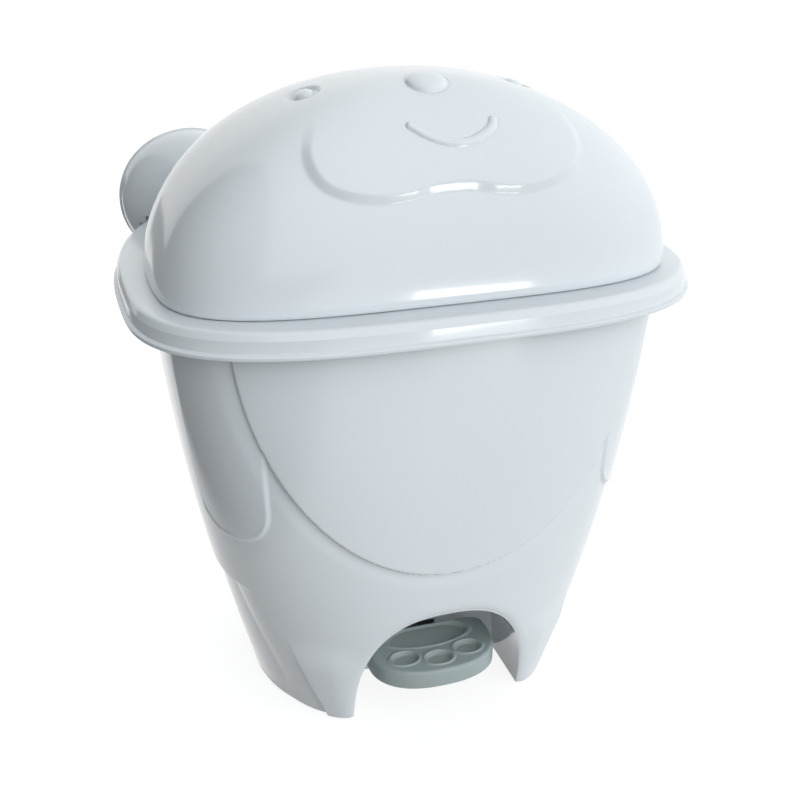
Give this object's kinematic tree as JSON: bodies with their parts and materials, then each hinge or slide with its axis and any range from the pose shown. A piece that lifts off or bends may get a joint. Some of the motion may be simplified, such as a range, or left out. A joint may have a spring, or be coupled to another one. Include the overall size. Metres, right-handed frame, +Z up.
{
  "type": "pedal nappy bin",
  "caption": "Pedal nappy bin shaped as a bear: tapered shell, wide rim, domed lid with a face and ears, inner bucket with a handle.",
  "frame": {"origin": "on the floor, under the middle of the footprint's bounding box", "axes": "+Z up, -Y to the pedal and the bear's face, +X to the right seen from the front"},
  "size_m": [0.33, 0.274, 0.375],
  "materials": {
    "shell": "light grey-blue moulded plastic, glossy",
    "bucket": "pale grey moulded plastic, satin to glossy",
    "base": "grey moulded plastic",
    "pedal": "dark grey-green moulded plastic, satin",
    "guide": "white moulded plastic",
    "grip": "light grey-blue moulded plastic",
    "clip": "dark push-on washer",
    "pad": "soft dark rubber",
    "screw": "zinc-plated steel",
    "steel": "drawn steel rod and wire"
  },
  "bodies": {
    "bin_body": {"outer_body": "shell", "collar": "shell", "base_plate": "base", "base_screws": "screw", "foot_pad_front_left": "pad", "foot_pad_front_right": "pad", "foot_pad_rear_left": "pad", "foot_pad_rear_right": "pad", "rod_guide_lower": "guide", "rod_guide_upper": "guide", "hinge_pin": "steel", "pedal_axle": "steel", "axle_clips": "clip"},
    "lid": {"lid": "shell", "lid_bumper_left": "pad", "lid_bumper_right": "pad"},
    "pedal": {"pedal_lever": "pedal", "pedal_tread": "pedal", "tread_screws": "screw"},
    "rod": {"push_rod": "steel", "rod_foot": "guide", "rod_tip": "guide"},
    "bucket": {"inner_bucket": "bucket"},
    "handle": {"bucket_handle": "steel", "handle_grip": "grip"}
  },
  "joints": [
    {"name": "lid_hinge", "type": "hinge", "parent": "bin_body", "child": "lid", "pos_m": [0, 0.125, 0.275], "axis": [-1, 0, 0], "range_deg": [0, 72]},
    {"name": "pedal_pivot", "type": "hinge", "parent": "bin_body", "child": "pedal", "pos_m": [0, -0.045, 0.026], "axis": [1, 0, 0], "range_deg": [0, 9.8]},
    {"name": "push_rod_slide", "type": "slide", "parent": "bin_body", "child": "rod", "axis": [0, 0.2255, 0.9742], "range_m": [0, 0.0188]},
    {"name": "bucket_lift", "type": "slide", "parent": "bin_body", "child": "bucket", "axis": [0, 0, 1], "range_m": [0, 0.018]},
    {"name": "handle_swing", "type": "hinge", "parent": "bucket", "child": "handle", "pos_m": [0, -0.027, 0.255], "axis": [-1, 0, 0], "range_deg": [0, 180]}
  ],
  "couplings": [
    {"joint": "push_rod_slide", "follows": "lid_hinge", "m_per_rad": 0.01496},
    {"joint": "pedal_pivot", "follows": "lid_hinge", "ratio": 0.1361}
  ]
}
